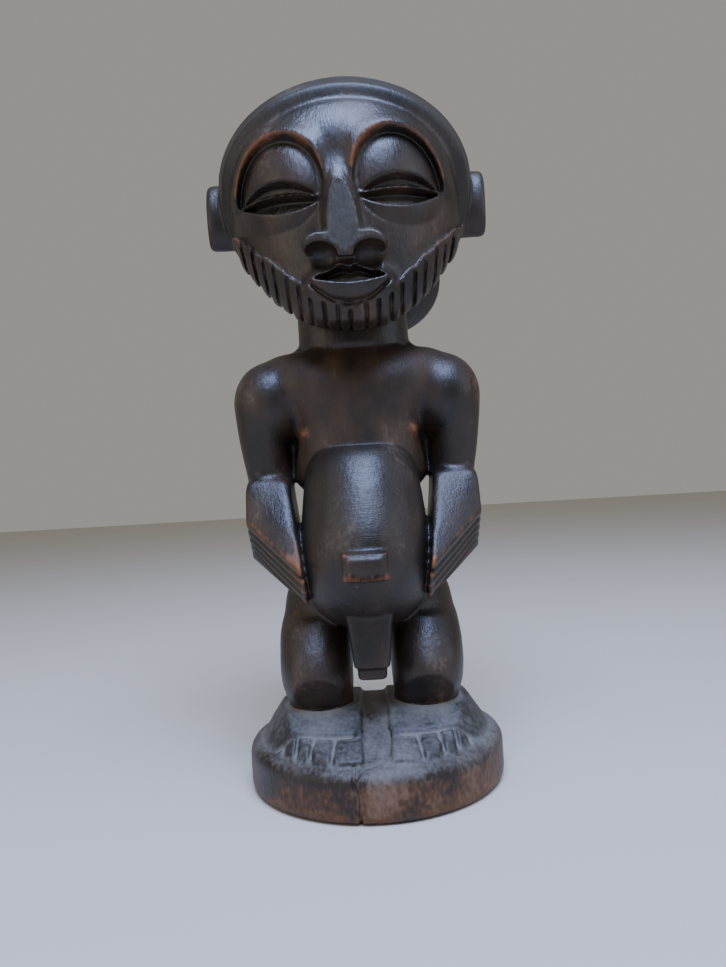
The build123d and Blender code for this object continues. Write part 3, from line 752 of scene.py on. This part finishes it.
# ---------------------------------------------------------------- beard
# A band of beard from ear to ear, raised by one cut along its upper edge and notched
# into upright tufts with short strokes of the knife.
BEARD_X = (0.0, 14.0, 33.0, 54.0, 62.0)
BEARD_Z = (196.0, 200.5, 219.0, 240.0, 248.0)
TUFT = 5.3  # mm from notch to notch
TUFT_CUTS = 10  # notches each side of the middle one
NOTCH_DEPTH = 2.0
edge_z = np.interp(np.abs(head.x), BEARD_X, BEARD_Z) + 0.5 * np.sin(head.x * 0.9)
band = np.maximum(skin - HAIR_PROUD, np.maximum(0.75 * (head.z - edge_z), behind - 3.0))
head.wood = joined(head.wood, band, 0.5)
head.parts["beard"] = np.maximum(band, -skin)


def beard_relief(x, z):
    """The notches between the tufts, and how far each tuft stands out of line."""
    shake = np.random.default_rng(5)
    notches = 0
    tufts = 0
    for cut in range(-TUFT_CUTS, TUFT_CUTS + 1):
        start_x = cut * TUFT * (1 - 0.008 * abs(cut)) + shake.uniform(-0.6, 0.6)
        start_z = float(np.interp(abs(start_x), BEARD_X, BEARD_Z)) - shake.uniform(0.2, 1.6)
        line_x = start_x - 0.13 * start_x / 50 * (start_z - z)
        reach = ramp(start_z - z, 0.0, 0.8)
        reach = reach * ramp(start_z - shake.uniform(12, 16) - z, 1.5, 0.0)
        notches = np.maximum(notches, bump(x - line_x, shake.uniform(0.42, 0.6)) * reach)
        tuft = np.abs(x - line_x - TUFT / 2) < TUFT / 2
        tufts = tufts + shake.uniform(-0.35, 0.35) * tuft * reach
    return NOTCH_DEPTH * notches + tufts


on_beard = ramp(head.y, 6.0, 0.0) * ramp(band, 1.5, 0.5)
head.wood = head.wood + drawn(beard_relief) * on_beard

# ---------------------------------------------------------------- hair and ears
# Close-cropped hair, standing proud behind the face and incised with fine lines that
# follow the hairline, gathered into two knots behind. The ears are small upright flanges.
HAIR_LINE = 2.4  # mm between the incised lines
RIM = 9.0  # mm of smooth rim in front of the first line
RIM_WIDTH = 2.2  # mm across the step where the hair rises from the forehead
HAIR_LINE_DEPTH = 0.4
lines = bump(np.mod(behind, HAIR_LINE) - HAIR_LINE / 2, 0.5)
on_hair = ramp(behind, RIM, RIM + 3) * ramp(head.parts["coiffure"], 2.0, 1.0)
clear_of_ears = ramp(np.minimum(head.parts["right_ear"], head.parts["left_ear"]), 0.5, 3.0)
head.wood = head.wood + HAIR_LINE_DEPTH * lines * on_hair * clear_of_ears
above_ears = ramp(head.z, 236.0, 246.0)
hair_step = 0.9 * bump(behind + 1.6, RIM_WIDTH) - 0.8 * bump(behind - 2.2, RIM_WIDTH)
head.wood = head.wood + hair_step * above_ears
head.weather()


def face_rub(points, normals):
    """The crests of the brows are rubbed bare, and nothing below them."""
    lean = np.abs(off_axis(points[:, 0], points[:, 2]))
    ring = np.hypot((lean - EYE_X) / EYE_WIDE, (points[:, 2] - EYE_Z) / BROW_RISE) - 1
    arch = bump(ring * EYE_WIDE, 1.0) * ramp(points[:, 2], 243.0, 250.0)
    return 0.65 * arch * (points[:, 1] < -15) - 0.8 * ramp(points[:, 2], 248.0, 243.0)


polished_face = waxed_hardwood(
    "face_polished_hardwood", "#191510", "#3c2c20", "#7e4a28", "#5e5d50", 0.33)
cropped_hair = waxed_hardwood(
    "incised_waxed_hardwood", "#181511", "#31281f", "#6a4a32", "#625f54", 0.44)
bearded_wood = waxed_hardwood(
    "notched_waxed_hardwood", "#1b1611", "#3e2e20", "#7a5638", "#625f54", 0.38)
carved_piece("head_wood", head, ["head"], polished_face, (14, 14, 14), 0.12,
             0.6, 0.3, face_rub,
             ("nose", "right_brow", "left_brow", "right_eye", "left_eye", "mouth"))
carved_piece("beard_wood", head, ["beard"], bearded_wood, (8, 8, 12), 0.1, 0.5)
for ear in ("right_ear", "left_ear"):
    carved_piece(ear + "_wood", head, [ear], patina, (7, 7, 9), 0.2, 0.6)
carved_piece("hair_wood", head, ["coiffure"], cropped_hair,
             (14, 14, 14), 0.15, 0.4, 0.1)

# ---------------------------------------------------------------- studio
# A pale floor, a broad cool window light from above and in front, a weaker fill from
# each side, and the camera at the height of the belly.
floor_mesh = bpy.data.meshes.new("floor")
FLOOR = 3.0  # metres each way
floor_mesh.from_pydata(
    [(-FLOOR, -FLOOR, 0), (FLOOR, -FLOOR, 0), (FLOOR, FLOOR, 0), (-FLOOR, FLOOR, 0)], [],
    [(0, 1, 2, 3)])
floor = bpy.data.objects.new("floor", floor_mesh)
bpy.context.scene.collection.objects.link(floor)
pale = bpy.data.materials.new("pale_matt_paper")
pale.use_nodes = True
pale.node_tree.nodes["Principled BSDF"].inputs["Base Color"].default_value = srgb("#cfc9bd")
pale.node_tree.nodes["Principled BSDF"].inputs["Roughness"].default_value = 0.9
floor_mesh.materials.append(pale)

world = bpy.data.worlds.new("pale_room")
bpy.context.scene.world = world
world.use_nodes = True
world.node_tree.nodes["Background"].inputs["Color"].default_value = srgb("#d3d0c9")
world.node_tree.nodes["Background"].inputs["Strength"].default_value = 0.5

MIDDLE = (0.0, 0.0, 0.15)


def window(name, place, width, height, power, colour):
    """A soft area light that faces the figure."""
    light = bpy.data.lights.new(name, "AREA")
    light.shape = "RECTANGLE"
    light.size = width
    light.size_y = height
    light.energy = power
    light.color = srgb(colour)[:3]
    lamp = bpy.data.objects.new(name, light)
    lamp.location = place
    towards = [end - start for start, end in zip(place, MIDDLE)]
    lamp.rotation_euler = Vector(towards).to_track_quat("-Z", "Y").to_euler()
    bpy.context.scene.collection.objects.link(lamp)


window("window_light", (0.06, -0.42, 0.95), 0.6, 0.45, 21.0, "#b4caff")
window("left_fill", (-0.9, -0.5, 0.4), 0.5, 0.7, 2.4, "#f2e6d6")
window("right_fill", (0.9, -0.3, 0.5), 0.5, 0.7, 2.2, "#d6e2f8")

camera_data = bpy.data.cameras.new("camera")
camera_data.sensor_width = 36.0
camera_data.lens = 27.07
camera = bpy.data.objects.new("camera", camera_data)
camera.location = (0.0005, -0.322, 0.1277)
camera.rotation_euler = (math.radians(90), math.radians(3.3), 0)
bpy.context.scene.collection.objects.link(camera)
bpy.context.scene.camera = camera
